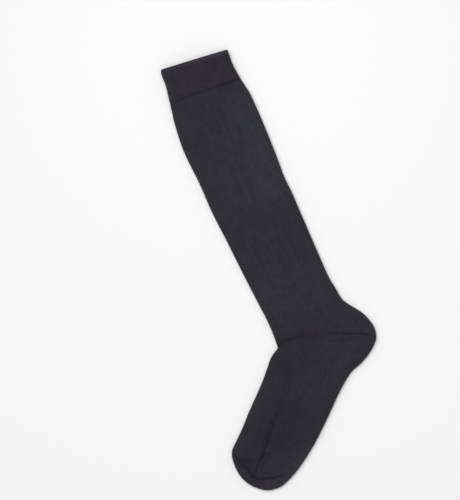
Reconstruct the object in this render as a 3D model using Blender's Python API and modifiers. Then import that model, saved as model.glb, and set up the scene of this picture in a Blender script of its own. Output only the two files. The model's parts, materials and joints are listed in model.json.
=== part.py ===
"""A knee sock lying on its side, in six open knitted pieces: cuff, leg, heel, instep, sole and toe.

The plan of the sock is drawn first. Its origin is the point beside the ankle bone where the heel's
gore starts. The leg rises along +Y, the foot points away at FOOT_BEND, and the front of the leg is
on the -X side. Each piece is a patch of that plan, laid once as the upper layer and once as the
lower layer, joined where the cloth folds, and given its wall by Solidify.
"""

import math
from collections import namedtuple

import bmesh
import bpy
import numpy as np

# Driving dimensions, in metres, with angles in degrees
LEG_LENGTH = 0.375  # gore start to the mouth, along the front fold
CUFF_HEIGHT = 0.0425
CUFF_WIDTH = 0.0842  # laid flat, at the mouth
CALF_WIDTH = 0.103
ANKLE_WIDTH = 0.0918
FOOT_LENGTH = 0.2084  # gore start to the tip of the toe
FOOT_WIDTH = 0.092
FOOT_BEND = 47.3
TOE_LENGTH = 0.0232  # front end of the toe seam to the tip
TOE_BULGE = 0.0280  # how far the toe reaches past a line between the seam's ends
HEEL_REACH = 0.0590  # gore start to the back of the heel
HEEL_TOP_ANGLE = 28.0  # above a line square to the leg
HEEL_BOTTOM_ANGLE = 18.7  # below a line square to the foot
GORE_ANGLE = 25.5  # below a line square to the leg
GORE_LENGTH = 0.050
KNIT_WALL = 0.0012
CUFF_WALL = 0.0018  # the cuff is turned double
FOLD_HOLLOW = 0.0020  # clear height inside a folded edge
MIDDLE_HOLLOW = 0.0060  # clear height inside, away from the folds
RISE_REACH = 0.012  # distance from a fold over which the upper layer rises
RIB_PITCH = 0.0023
RIB_DEPTH = 0.0005
CREASE_DEPTH = 0.0012
CREASE_REACH = 0.0032
POCKET_PUFF = 0.0012  # extra height over the middle of the heel pocket
POCKET_REACH = 0.020
PIECE_GAP = 0.0003

# The notch where the shin meets the instep, as shares of the ankle's and the foot's width
NOTCH_ON_LEG = 0.692
NOTCH_ON_FOOT = 0.526
ANKLE_BOW = -0.10  # bow of the crease from the notch to the gore, as a share of its length
LEG_MIDDLE = 0.586  # share of the leg's width that lies before the side line

# How finely the curves and the cloth are divided
STEPS_PER_SPAN = 8
LEG_STEP = 0.024
FOOT_STEP = 0.012
CUFF_SPANS = 3
CUFF_FOLD_POINTS = 9
CUFF_FLAT_POINTS = 41
HEEL_RAYS = 12
TOE_SPANS = 3
TOE_HALF_COLUMNS = 12
END_CROWDING = 0.6  # 0 spaces the toe's columns evenly, and 1 closes them up at its ends
HALF_COLUMNS = 6
CREASE_STEP = 0.0035
FOLD_STEPS = 1 - np.cos(np.radians([0, 30, 60, 90]))
MERGE_DISTANCE = 1e-6
EVEN_SHARES = np.linspace(0, 1, 9)

CuffRow = namedtuple("CuffRow", "height widening forward lift")
CUFF_TABLE = (
    CuffRow(height=1.00, widening=0.00, forward=0.737, lift=-0.106),
    CuffRow(height=0.88, widening=0.24, forward=0.745, lift=-0.101),
    CuffRow(height=0.50, widening=0.25, forward=0.753, lift=-0.093),
    CuffRow(height=0.00, widening=1.00, forward=0.746, lift=-0.063),
)

# fullness runs from 0 at the ankle's width to 1 at the calf's. forward is the share of the width
# that lies before the gore's start, and lift raises the back fold's end of the row.
LegRow = namedtuple("LegRow", "up fullness forward lift")
LEG_TABLE = (
    LegRow(up=1.000, fullness=0.00, forward=0.746, lift=-0.063),
    LegRow(up=0.961, fullness=0.35, forward=0.737, lift=-0.040),
    LegRow(up=0.922, fullness=0.70, forward=0.731, lift=-0.020),
    LegRow(up=0.817, fullness=1.00, forward=0.734, lift=0.000),
    LegRow(up=0.685, fullness=0.74, forward=0.732, lift=0.000),
    LegRow(up=0.595, fullness=0.60, forward=0.742, lift=0.000),
    LegRow(up=0.528, fullness=0.60, forward=0.731, lift=0.000),
    LegRow(up=0.459, fullness=0.44, forward=0.725, lift=0.000),
    LegRow(up=0.330, fullness=0.24, forward=0.715, lift=0.000),
    LegRow(up=0.198, fullness=0.00, forward=0.701, lift=0.000),
    LegRow(up=0.138, fullness=0.05, forward=0.679, lift=0.020),
    LegRow(up=0.076, fullness=0.24, forward=0.660, lift=0.063),
)

# turn runs from 0 at the top of the heel pocket to 1 at its bottom.
HeelRow = namedtuple("HeelRow", "turn reach")
HEEL_TABLE = (
    HeelRow(turn=0.00, reach=0.741),
    HeelRow(turn=0.20, reach=0.816),
    HeelRow(turn=0.35, reach=0.895),
    HeelRow(turn=0.48, reach=0.968),
    HeelRow(turn=0.62, reach=1.000),
    HeelRow(turn=0.80, reach=0.956),
    HeelRow(turn=1.00, reach=0.925),
)

# forward, back, lift and side_lift are shares of the foot's width. forward and back reach from the
# foot's axis to its folds, lift raises the back fold's end of the row and side_lift the side line,
# which lies at the share middle of the row. The bows round the row's two halves.
FootRow = namedtuple("FootRow", "down forward back middle lift side_lift front_bow back_bow")
FOOT_TABLE = (
    FootRow(0.302, 0.555, 0.489, 0.480, 0.239, 0.059, 0.00, 0.00),
    FootRow(0.389, 0.542, 0.460, 0.410, 0.109, 0.020, 0.00, 0.00),
    FootRow(0.497, 0.528, 0.458, 0.374, 0.000, 0.000, 0.00, 0.00),
    FootRow(0.675, 0.527, 0.446, 0.363, 0.000, 0.000, 0.00, 0.00),
    FootRow(0.799, 0.517, 0.418, 0.396, 0.000, -0.018, -0.02, 0.00),
    FootRow(0.896, 0.520, 0.391, 0.431, 0.033, -0.080, -0.06, 0.00),
    FootRow(0.958, 0.521, 0.369, 0.446, 0.066, -0.130, -0.08, 0.01),
    FootRow(1.000, 0.490, 0.353, 0.454, 0.103, -0.186, -0.10, 0.015),
)
CREASE_FROM_ROW = 3  # the long crease on the foot runs from this row to the toe seam

# across runs from the seam's front end to its back end, and reach is a share of the toe's bulge.
ToeRow = namedtuple("ToeRow", "across reach")
TOE_TABLE = (
    ToeRow(across=0.000, reach=0.000),
    ToeRow(across=0.065, reach=0.290),
    ToeRow(across=0.149, reach=0.555),
    ToeRow(across=0.262, reach=0.800),
    ToeRow(across=0.400, reach=0.955),
    ToeRow(across=0.540, reach=1.000),
    ToeRow(across=0.680, reach=0.965),
    ToeRow(across=0.805, reach=0.790),
    ToeRow(across=0.896, reach=0.545),
    ToeRow(across=0.967, reach=0.210),
    ToeRow(across=1.000, reach=0.000),
)

KNIT_FOLD_RADIUS = FOLD_HOLLOW / 2 + KNIT_WALL
CUFF_FOLD_RADIUS = FOLD_HOLLOW / 2 + CUFF_WALL
LEG_TUBE = LEG_LENGTH - CUFF_HEIGHT
FOOT_TUBE = FOOT_LENGTH - TOE_LENGTH
GORE_START = np.zeros(2)


def from_foot_frame(points):
    """Turns points whose foot runs along -Y to the plan, where the foot bends forward."""
    bend = math.radians(FOOT_BEND)
    turn = np.array([[math.cos(bend), -math.sin(bend)], [math.sin(bend), math.cos(bend)]])
    return np.asarray(points) @ turn


def polar(reach, degrees):
    angle = math.radians(degrees)
    return reach * np.array([math.cos(angle), math.sin(angle)])


def notch_point():
    """Where the front of the leg crosses the front of the foot."""
    bend = math.radians(FOOT_BEND)
    leg_x = -NOTCH_ON_LEG * ANKLE_WIDTH
    foot_x = -NOTCH_ON_FOOT * FOOT_WIDTH
    foot_y = (leg_x - foot_x * math.cos(bend)) / math.sin(bend)
    return from_foot_frame([foot_x, foot_y])


def section(front, middle, back, front_bow=0.0, back_bow=0.0):
    """A row across the sock: front fold, control point, side line, control point, back fold."""
    front, middle, back = map(np.asarray, (front, middle, back))

    def control(start, end, bow):
        along = end - start
        across = np.array([along[1], -along[0]])
        return (start + end) / 2 + 2 * bow * across

    return np.array(
        [front, control(front, middle, front_bow), middle, control(middle, back, back_bow), back]
    )


def leg_width(row):
    return ANKLE_WIDTH + row.fullness * (CALF_WIDTH - ANKLE_WIDTH)


def section_across(row, width, y):
    """A row of the cuff or the leg, from its table's row."""
    front = np.array([-row.forward * width, y])
    back = np.array([(1 - row.forward) * width, y + row.lift * width])
    return section(front, front + LEG_MIDDLE * (back - front), back)


def cuff_sections():
    """From the mouth down to the seam."""
    rows = []
    for row in CUFF_TABLE:
        width = CUFF_WIDTH + row.widening * (leg_width(LEG_TABLE[0]) - CUFF_WIDTH)
        rows.append(section_across(row, width, LEG_TUBE + row.height * CUFF_HEIGHT))
    return rows


def leg_sections():
    """From the seam under the cuff down to the ankle, without the ankle's own row."""
    return [section_across(row, leg_width(row), row.up * LEG_TUBE) for row in LEG_TABLE]


def heel_outline():
    """The folded edge of the heel pocket, from its top to its bottom."""
    sweep = HEEL_TOP_ANGLE + FOOT_BEND + HEEL_BOTTOM_ANGLE
    return [polar(row.reach * HEEL_REACH, HEEL_TOP_ANGLE - row.turn * sweep) for row in HEEL_TABLE]


def foot_sections():
    """From below the ankle to the toe seam, without the ankle's own row."""
    rows = []
    for row in FOOT_TABLE:
        y = -row.down * FOOT_TUBE
        front = np.array([-row.forward * FOOT_WIDTH, y])
        back = np.array([row.back * FOOT_WIDTH, y + row.lift * FOOT_WIDTH])
        middle = front + row.middle * (back - front) + [0, row.side_lift * FOOT_WIDTH]
        rows.append(from_foot_frame(section(front, middle, back, row.front_bow, row.back_bow)))
    return rows


def toe_outline(front, back):
    """The folded edge of the toe, from the front end of its seam to the back end."""
    across = back - front
    outwards = np.array([across[1], -across[0]]) / np.linalg.norm(across)
    return [front + row.across * across + row.reach * TOE_BULGE * outwards for row in TOE_TABLE]


def curve_through(rows, before=None, after=None):
    """Points of a smooth curve through the rows, with STEPS_PER_SPAN to a span."""
    rows = [np.asarray(r, float) for r in rows]
    first = rows[0] * 2 - rows[1] if before is None else before
    last = rows[-1] * 2 - rows[-2] if after is None else after
    rows = [first, *rows, last]
    made = []
    for a, b, c, d in zip(rows, rows[1:], rows[2:], rows[3:]):
        for t in np.arange(STEPS_PER_SPAN) / STEPS_PER_SPAN:
            made.append(
                b
                + t * (c - a) / 2
                + t**2 * (a - 2.5 * b + 2 * c - d / 2)
                + t**3 * (1.5 * (b - c) + (d - a) / 2)
            )
    return np.array([*made, rows[-2]])


def bent(control, shares):
    """Points of the quadratic curve with these three control points."""
    start, pull, end = control
    s = np.asarray(shares)[:, None]
    return (1 - s) ** 2 * start + 2 * s * (1 - s) * pull + s**2 * end


def lengths_along(path):
    """How far each point of a path lies from its start, along the path."""
    return np.concatenate([[0], np.cumsum(np.linalg.norm(np.diff(path, axis=0), axis=1))])


def read_off(rows, place, wanted):
    """Rows between the given ones, at the wanted places."""
    flat = rows.reshape(len(rows), -1)
    made = np.array([np.interp(wanted, place, column) for column in flat.T]).T
    return made.reshape(-1, *rows.shape[1:])


def at_shares(path, shares):
    place = lengths_along(path)
    return read_off(path, place, shares * place[-1])


def respaced(rows, step, end_step=0):
    """Rows about a step apart along the side line, with one row more near each end."""
    place = lengths_along(rows[:, 2])
    low, high = end_step, place[-1] - end_step
    inner = np.linspace(low, high, max(2, round((high - low) / step) + 1))
    wanted = np.concatenate([[0], inner, [place[-1]]]) if end_step else inner
    return read_off(rows, place, wanted)


class Plan:
    """The sock's rows and its folded outline, worked out once from the sizes above."""

    def __init__(self):
        cuff, leg, heel, foot = cuff_sections(), leg_sections(), heel_outline(), foot_sections()
        notch = notch_point()
        leg_end = section(notch, GORE_START, heel[0], ANKLE_BOW)
        foot_start = section(notch, GORE_START, heel[-1], ANKLE_BOW)
        past_leg = 2 * leg_end - leg[-1]
        past_leg[4] = heel[1]
        above_foot = 2 * foot_start - foot[0]
        above_foot[4] = heel[-2]
        self.cuff = curve_through(cuff, after=leg[1])
        self.leg = curve_through([*leg, leg_end], before=cuff[-2], after=past_leg)
        self.heel = curve_through(heel, before=leg[-1][4], after=foot[0][4])
        toe = toe_outline(foot[-1][0], foot[-1][4])
        past_foot = 2 * foot[-1] - foot[-2]
        past_foot[0] = toe[1]
        past_foot[4] = toe[-2]
        self.foot = curve_through([foot_start, *foot], before=above_foot, after=past_foot)
        self.toe = curve_through(toe, before=foot[-2][0], after=foot[-2][4])
        self.outline = np.concatenate(
            [
                self.cuff[:, 0],
                self.leg[1:, 0],
                self.foot[1:, 0],
                self.toe[1:-1],
                self.foot[1:, 4][::-1],
                self.heel[::-1],
                self.leg[:-1, 4][::-1],
                self.cuff[:-1, 4][::-1],
            ]
        )
        self.creases = [
            bent(self.leg[-1, 0:3], EVEN_SHARES),
            np.array([GORE_START, polar(GORE_LENGTH, -GORE_ANGLE)]),
            self.foot[CREASE_FROM_ROW * STEPS_PER_SPAN :, 2],
            bent(self.foot[-1, 0:3], EVEN_SHARES),
            bent(self.foot[-1, 2:5], EVEN_SHARES),
        ]


def distance_to_path(points, path):
    start, step = path[:-1], np.diff(path, axis=0)
    whole = (step**2).sum(-1)
    start, step, whole = start[whole > 0], step[whole > 0], whole[whole > 0]
    offset = points[..., None, :] - start
    share = np.clip((offset * step).sum(-1) / whole, 0, 1)
    return np.linalg.norm(offset - share[..., None] * step, axis=-1).min(-1)


def folded_heights(distance, radius):
    """Outer heights of the upper and the lower layer at these distances from a fold."""
    arc = np.sqrt(radius**2 - np.maximum(radius - distance, 0) ** 2)
    rise = (MIDDLE_HOLLOW - FOLD_HOLLOW) * (1 - np.exp(-distance / RISE_REACH))
    return radius + arc + rise, radius - arc


def heights(plan, patch):
    """Outer heights of a patch's two layers, with the creases and the heel's puff in the upper one."""
    distance = np.where(patch.on_fold, 0, distance_to_path(patch.points, plan.outline))
    top, bottom = folded_heights(distance, KNIT_FOLD_RADIUS)
    settled = np.minimum(1, distance / (2 * CREASE_REACH))
    for crease in plan.creases:
        away = distance_to_path(patch.points, crease)
        top -= CREASE_DEPTH * settled * np.exp(-((away / CREASE_REACH) ** 2))
    pocket = polar(HEEL_REACH / 2, -GORE_ANGLE)
    away = np.linalg.norm(patch.points - pocket, axis=-1)
    top += POCKET_PUFF * settled * np.exp(-((away / POCKET_REACH) ** 2))
    return top, bottom


def shares_from_fold(length):
    """Shares of a half row from its fold to the side line, close together round the fold."""
    near = FOLD_STEPS * KNIT_FOLD_RADIUS / length
    even = np.linspace(near[-1], 1 - CREASE_STEP / length, HALF_COLUMNS)
    return np.concatenate([near, even[1:], [1]])


def front_half(row):
    return bent(row[0:3], shares_from_fold(np.linalg.norm(row[2] - row[0])))


def back_half(row):
    return bent(row[2:5], 1 - shares_from_fold(np.linalg.norm(row[4] - row[2]))[::-1])


def unit(vectors):
    """Vectors of length 1, with those of no length left as they are."""
    length = np.linalg.norm(vectors, axis=-1, keepdims=True)
    return vectors / np.where(length > 0, length, 1)


def draw_back(grid, first_row=False, last_row=False, first_column=False, last_column=False):
    """Moves the named edges of a patch inwards by half the gap between two pieces."""
    inwards = np.zeros_like(grid)
    if first_row:
        inwards[0] += unit(grid[1] - grid[0])
    if last_row:
        inwards[-1] += unit(grid[-2] - grid[-1])
    if first_column:
        inwards[:, 0] += unit(grid[:, 1] - grid[:, 0])
    if last_column:
        inwards[:, -1] += unit(grid[:, -2] - grid[:, -1])
    return grid + inwards * PIECE_GAP / 2


Patch = namedtuple("Patch", "points on_fold")


def folded_patch(points, rows=(), columns=()):
    """A patch with the rows and columns that lie on a fold marked."""
    on_fold = np.zeros(points.shape[:2], bool)
    on_fold[list(rows)] = True
    on_fold[:, list(columns)] = True
    return Patch(points, on_fold)


def leg_patch(plan):
    rows = respaced(plan.leg, LEG_STEP, CREASE_STEP)
    grid = np.array([np.concatenate([front_half(r), back_half(r)[1:]]) for r in rows])
    grid = draw_back(grid, first_row=True, last_row=True)
    return folded_patch(grid, columns=(0, -1))


def instep_patch(plan):
    rows = respaced(plan.foot, FOOT_STEP, CREASE_STEP)
    grid = np.array([front_half(r) for r in rows])
    grid = draw_back(grid, first_row=True, last_row=True, last_column=True)
    return folded_patch(grid, columns=(0,))


def sole_patch(plan):
    rows = respaced(plan.foot, FOOT_STEP, CREASE_STEP)
    grid = np.array([back_half(r) for r in rows])
    grid = draw_back(grid, first_row=True, last_row=True, first_column=True)
    return folded_patch(grid, columns=(-1,))


def heel_patch(plan):
    """Rays from the gore's start to the folded edge, with their common point moved back."""
    edge = at_shares(plan.heel, np.linspace(0, 1, HEEL_RAYS + 1))
    half_sweep = (HEEL_TOP_ANGLE + FOOT_BEND + HEEL_BOTTOM_ANGLE) / 2
    start = polar(PIECE_GAP / 2 / math.sin(math.radians(half_sweep)), HEEL_TOP_ANGLE - half_sweep)
    grid = np.array([back_half(section(start, start, end)) for end in edge])
    grid = draw_back(grid, first_row=True, last_row=True)
    return folded_patch(grid, columns=(-1,))


def toe_patch(plan):
    """A band along the fold and, inside it, rows that close up on the seam at both ends."""
    front = bent(plan.foot[-1, 0:3], EVEN_SHARES)
    back = bent(plan.foot[-1, 4:1:-1], EVEN_SHARES)
    front_length = lengths_along(front)[-1]
    back_length = lengths_along(back)[-1]
    side_line = front_length / (front_length + back_length)
    even = np.linspace(0, 1, TOE_HALF_COLUMNS + 1)
    crowded = even - END_CROWDING * np.sin(math.pi * even) / math.pi
    front_band = KNIT_FOLD_RADIUS / front_length
    back_band = KNIT_FOLD_RADIUS / back_length
    front = at_shares(front, front_band + crowded * (1 - front_band))
    back = at_shares(back, back_band + crowded * (1 - back_band))
    seam = np.concatenate([front, back[-2::-1]])
    columns = np.concatenate([crowded * side_line, 1 - crowded[-2::-1] * (1 - side_line)])
    edge = at_shares(plan.toe, columns)
    inwards = unit(seam - edge) * KNIT_FOLD_RADIUS
    rows = [seam + (edge + inwards - seam) * s for s in np.linspace(0, 1, TOE_SPANS + 1)]
    rows += [edge + inwards * s for s in FOLD_STEPS[-2::-1]]
    grid = draw_back(np.array(rows), first_row=True, first_column=True, last_column=True)
    for end in (0, -1):
        grid[:TOE_SPANS, end] = grid[TOE_SPANS, end]
    return folded_patch(grid, rows=(-1,))


def knit_material(name, colour):
    material = bpy.data.materials.new(name)
    material.use_nodes = True
    shader = material.node_tree.nodes["Principled BSDF"]
    shader.inputs["Base Color"].default_value = (*colour, 1)
    shader.inputs["Roughness"].default_value = 0.95
    shader.inputs["Metallic"].default_value = 0.0
    return material


def add_piece(name, vertices, faces, wall, colour, collection):
    """One open skin with its faces outwards, thickened inwards by its wall."""
    mesh = bpy.data.meshes.new(name)
    mesh.from_pydata(vertices.tolist(), [], faces)
    work = bmesh.new()
    work.from_mesh(mesh)
    bmesh.ops.remove_doubles(work, verts=work.verts, dist=MERGE_DISTANCE)
    work.to_mesh(mesh)
    work.free()
    mesh.shade_smooth()
    mesh.materials.append(knit_material(f"{name}_knit", colour))
    piece = bpy.data.objects.new(name, mesh)
    collection.objects.link(piece)
    shell = piece.modifiers.new("wall", "SOLIDIFY")
    shell.thickness = wall
    shell.offset = -1
    shell.use_even_offset = True
    shell.use_quality_normals = True
    return piece


def add_folded(name, plan, patch, colour, collection):
    """Lays a patch of the plan as an upper and a lower layer that meet along their folds."""
    rows, columns = patch.on_fold.shape
    layers = [np.dstack([patch.points, height]).reshape(-1, 3) for height in heights(plan, patch)]
    faces = []
    for i in range(rows - 1):
        for j in range(columns - 1):
            a, b = i * columns + j, i * columns + j + 1
            c, d = b + columns, a + columns
            faces.append((a, d, c, b))
            faces.append(tuple(rows * columns + k for k in (a, b, c, d)))
    return add_piece(name, np.concatenate(layers), faces, KNIT_WALL, colour, collection)


def cuff_loop(row, ribs):
    """Points round one row of the cuff, on a ridge and in a furrow of the rib by turns."""
    radius = CUFF_FOLD_RADIUS
    width = np.linalg.norm(row[4] - row[0])
    near = radius * (1 - np.cos(np.linspace(0, math.pi / 2, CUFF_FOLD_POINTS)))
    flat = np.linspace(radius, width - radius, CUFF_FLAT_POINTS)
    across = np.concatenate([near, flat[1:-1], width - near[::-1]])
    top, bottom = folded_heights(np.minimum(across, width - across), radius)
    there = np.stack([across, top], 1)
    back = np.stack([across, bottom], 1)[::-1]
    loop = np.concatenate([there, back[1:]])
    points = at_shares(loop, np.arange(2 * ribs) / (2 * ribs))
    tangent = unit(np.roll(points, -1, 0) - np.roll(points, 1, 0))
    inwards = np.stack([tangent[:, 1], -tangent[:, 0]], 1)
    points[1::2] += RIB_DEPTH * inwards[1::2]
    plan_points = row[0] + (row[4] - row[0]) * points[:, :1] / width
    return np.column_stack([plan_points, points[:, 1]])


def add_cuff(plan, colour, collection):
    ribs = round(2 * CUFF_WIDTH / RIB_PITCH)
    rows = respaced(plan.cuff, CUFF_HEIGHT / CUFF_SPANS)
    rows[-1] += unit(rows[-2] - rows[-1]) * PIECE_GAP / 2
    loops = [cuff_loop(row, ribs) for row in rows]
    count = 2 * ribs
    faces = []
    for i in range(len(loops) - 1):
        for j in range(count):
            a, b = i * count + j, i * count + (j + 1) % count
            faces.append((a, a + count, b + count, b))
    return add_piece("cuff", np.concatenate(loops), faces, CUFF_WALL, colour, collection)


def centre_on_floor(pieces, collection):
    """Hangs every piece on one empty, placed so that the origin is under the middle of the sock."""
    graph = bpy.context.evaluated_depsgraph_get()
    corners = np.array([c[:] for p in pieces for c in p.evaluated_get(graph).bound_box])
    low, high = corners.min(0), corners.max(0)
    origin = bpy.data.objects.new("sock_origin", None)
    collection.objects.link(origin)
    origin.location = (-(low[0] + high[0]) / 2, -(low[1] + high[1]) / 2, -low[2])
    for piece in pieces:
        piece.parent = origin


def main():
    for old in list(bpy.data.objects):
        bpy.data.objects.remove(old)
    collection = bpy.data.collections.new("knee_sock")
    bpy.context.scene.collection.children.link(collection)
    plan = Plan()
    charcoal = (0.028, 0.026, 0.034)
    deep_charcoal = (0.024, 0.022, 0.030)
    pieces = [
        add_cuff(plan, deep_charcoal, collection),
        add_folded("leg", plan, leg_patch(plan), charcoal, collection),
        add_folded("heel", plan, heel_patch(plan), charcoal, collection),
        add_folded("instep", plan, instep_patch(plan), charcoal, collection),
        add_folded("sole", plan, sole_patch(plan), charcoal, collection),
        add_folded("toe", plan, toe_patch(plan), deep_charcoal, collection),
    ]
    centre_on_floor(pieces, collection)


main()
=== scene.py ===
# %% [markdown]
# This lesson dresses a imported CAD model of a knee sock, so that it looks like dark, fine knitwear.
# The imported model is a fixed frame. It says how big the sock is and where each of its pieces lies.
# Nothing in it is moved: each plain piece is hidden, and a knitted piece takes its place. The plain
# mesh could be subdivided and displaced instead, but stitches run along a grid of their own.

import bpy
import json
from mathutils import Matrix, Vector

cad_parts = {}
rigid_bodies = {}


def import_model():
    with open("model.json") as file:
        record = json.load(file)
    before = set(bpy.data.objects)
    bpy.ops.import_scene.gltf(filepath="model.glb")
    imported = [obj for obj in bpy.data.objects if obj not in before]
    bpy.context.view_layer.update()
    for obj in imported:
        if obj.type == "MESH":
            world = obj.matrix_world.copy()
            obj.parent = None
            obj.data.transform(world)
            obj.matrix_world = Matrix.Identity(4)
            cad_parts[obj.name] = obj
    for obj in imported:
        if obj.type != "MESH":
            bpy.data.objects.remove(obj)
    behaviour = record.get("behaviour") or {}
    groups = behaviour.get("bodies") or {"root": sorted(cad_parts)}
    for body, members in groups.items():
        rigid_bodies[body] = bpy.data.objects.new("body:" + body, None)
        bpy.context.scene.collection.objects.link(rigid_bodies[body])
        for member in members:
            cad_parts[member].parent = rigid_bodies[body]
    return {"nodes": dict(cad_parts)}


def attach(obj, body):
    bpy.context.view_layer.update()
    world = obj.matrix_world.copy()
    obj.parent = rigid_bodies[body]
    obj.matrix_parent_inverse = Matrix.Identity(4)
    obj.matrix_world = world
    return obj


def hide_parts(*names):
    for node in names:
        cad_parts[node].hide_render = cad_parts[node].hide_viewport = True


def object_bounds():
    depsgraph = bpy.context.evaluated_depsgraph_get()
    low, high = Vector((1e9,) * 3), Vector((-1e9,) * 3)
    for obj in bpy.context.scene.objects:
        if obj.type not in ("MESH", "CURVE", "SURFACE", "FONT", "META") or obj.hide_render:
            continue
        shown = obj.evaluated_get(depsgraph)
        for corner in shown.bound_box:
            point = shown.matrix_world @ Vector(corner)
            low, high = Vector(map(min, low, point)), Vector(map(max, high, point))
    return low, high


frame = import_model()
CAD_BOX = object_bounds()
print("pieces:", ", ".join(sorted(frame["nodes"])))
print("size in mm:", [round((h - l) * 1000, 1) for l, h in zip(*CAD_BOX)])

# %% [markdown]
# The shapes are worked out as grids of points, and the grids then become meshes. A sock could be
# sculpted by hand too, but what is worked out from numbers comes out the same each time. The scene
# counts in metres and a sock is measured in millimetres, which is what MM is for.

# %% Import the tools and name the units
import json
import math
from collections import namedtuple

import bmesh
import bpy
import numpy as np
from mathutils import Vector
from mathutils.kdtree import KDTree

MM = 0.001
print("one millimetre in the scene's units:", MM)

# %% [markdown]
# A flat sock is drawn as a plan, from the same sizes as the CAD model. The plan's origin is beside
# the ankle bone, where the heel pocket starts. The leg rises along +Y, and the foot bends away. The
# outline could be drawn as one free curve, but sizes that a knitter knows can be checked one by one.

# %% Name the sock's sizes
LEG_LENGTH = 375 * MM  # from the heel pocket's start to the mouth
CUFF_HEIGHT = 42.5 * MM
CUFF_WIDTH = 84.2 * MM
CALF_WIDTH = 103 * MM
ANKLE_WIDTH = 91.8 * MM
FOOT_LENGTH = 208.4 * MM
FOOT_WIDTH = 92 * MM
TOE_LENGTH = 23.2 * MM
TOE_BULGE = 28 * MM
HEEL_REACH = 59 * MM
FOOT_BEND = math.radians(47.3)
HEEL_TOP_ANGLE = math.radians(28)  # above a line square to the leg
HEEL_BOTTOM_ANGLE = math.radians(18.7)  # below a line square to the foot
GORE_ANGLE = math.radians(25.5)  # below a line square to the leg
NOTCH_ON_LEG = 0.692  # where the shin meets the instep, as a share of the ankle's width
NOTCH_ON_FOOT = 0.526  # the same as a share of the foot's width
ANKLE_BOW = -0.10
SIDE_SHARE = 0.586  # share of a leg row that lies before the side line

LEG_TUBE = LEG_LENGTH - CUFF_HEIGHT
FOOT_TUBE = FOOT_LENGTH - TOE_LENGTH
GORE_START = np.zeros(2)
print("leg and foot tubes in mm:", round(LEG_TUBE / MM, 1), round(FOOT_TUBE / MM, 1))

# %% [markdown]
# Each row of these short tables crosses the sock from the folded front edge, past a line along its
# side, to the folded back edge. Widths and heights are shares of the sizes above, not lengths, so
# that all rows follow when a size is changed.

# %% List the rows of the plan
CuffRow = namedtuple("CuffRow", "height widening forward lift")
CUFF_TABLE = (
    CuffRow(1.00, 0.00, 0.737, -0.106),
    CuffRow(0.88, 0.24, 0.745, -0.101),
    CuffRow(0.50, 0.25, 0.753, -0.093),
    CuffRow(0.00, 1.00, 0.746, -0.063),
)
LegRow = namedtuple("LegRow", "up fullness forward lift")
LEG_TABLE = (
    LegRow(1.000, 0.00, 0.746, -0.063),
    LegRow(0.961, 0.35, 0.737, -0.040),
    LegRow(0.922, 0.70, 0.731, -0.020),
    LegRow(0.817, 1.00, 0.734, 0.000),
    LegRow(0.685, 0.74, 0.732, 0.000),
    LegRow(0.595, 0.60, 0.742, 0.000),
    LegRow(0.528, 0.60, 0.731, 0.000),
    LegRow(0.459, 0.44, 0.725, 0.000),
    LegRow(0.330, 0.24, 0.715, 0.000),
    LegRow(0.198, 0.00, 0.701, 0.000),
    LegRow(0.138, 0.05, 0.679, 0.020),
    LegRow(0.076, 0.24, 0.660, 0.063),
)
HeelRow = namedtuple("HeelRow", "turn reach")
HEEL_TABLE = (
    HeelRow(0.00, 0.741), HeelRow(0.20, 0.816), HeelRow(0.35, 0.895), HeelRow(0.48, 0.968),
    HeelRow(0.62, 1.000), HeelRow(0.80, 0.956), HeelRow(1.00, 0.925),
)
FootRow = namedtuple("FootRow", "down forward back middle lift side_lift front_bow back_bow")
FOOT_TABLE = (
    FootRow(0.302, 0.555, 0.489, 0.480, 0.239, 0.059, 0.00, 0.00),
    FootRow(0.389, 0.542, 0.460, 0.410, 0.109, 0.020, 0.00, 0.00),
    FootRow(0.497, 0.528, 0.458, 0.374, 0.000, 0.000, 0.00, 0.00),
    FootRow(0.675, 0.527, 0.446, 0.363, 0.000, 0.000, 0.00, 0.00),
    FootRow(0.799, 0.517, 0.418, 0.396, 0.000, -0.018, -0.02, 0.00),
    FootRow(0.896, 0.520, 0.391, 0.431, 0.033, -0.080, -0.06, 0.00),
    FootRow(0.958, 0.521, 0.369, 0.446, 0.066, -0.130, -0.08, 0.01),
    FootRow(1.000, 0.490, 0.353, 0.454, 0.103, -0.186, -0.10, 0.015),
)
FOOT_CREASE_ROW = 3
ToeRow = namedtuple("ToeRow", "across reach")
TOE_TABLE = (
    ToeRow(0.000, 0.000), ToeRow(0.065, 0.290), ToeRow(0.149, 0.555), ToeRow(0.262, 0.800),
    ToeRow(0.400, 0.955), ToeRow(0.540, 1.000), ToeRow(0.680, 0.965), ToeRow(0.805, 0.790),
    ToeRow(0.896, 0.545), ToeRow(0.967, 0.210), ToeRow(1.000, 0.000),
)
CUFF_SEAM_ROW = len(CUFF_TABLE) - 1
print("foot crease runs from row", FOOT_CREASE_ROW, "of", len(FOOT_TABLE))


# %% [markdown]
# A row becomes five points: the front fold, the side line and the back fold, and between them two
# control points that can bow it, as cloth bows where a foot has stretched it. Straight rows would be
# simpler, but the toe's end would look cut off. The foot's rows are laid out along a straight foot
# and then turned by the bend at the ankle, which keeps their table readable.

# %% Turn the tables into rows
def from_foot_frame(points):
    cos, sin = math.cos(FOOT_BEND), math.sin(FOOT_BEND)
    return np.asarray(points) @ np.array([[cos, -sin], [sin, cos]])


def polar(reach, angle):
    return reach * np.array([math.cos(angle), math.sin(angle)])


def section(front, middle, back, front_bow=0.0, back_bow=0.0):
    """Front fold, control point, side line, control point and back fold."""

    def control(start, end, bow):
        along = end - start
        return (start + end) / 2 + 2 * bow * np.array([along[1], -along[0]])

    return np.array(
        [front, control(front, middle, front_bow), middle, control(middle, back, back_bow), back]
    )


def section_across(row, width, y):
    front = np.array([-row.forward * width, y])
    back = np.array([(1 - row.forward) * width, y + row.lift * width])
    return section(front, front + SIDE_SHARE * (back - front), back)


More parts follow.
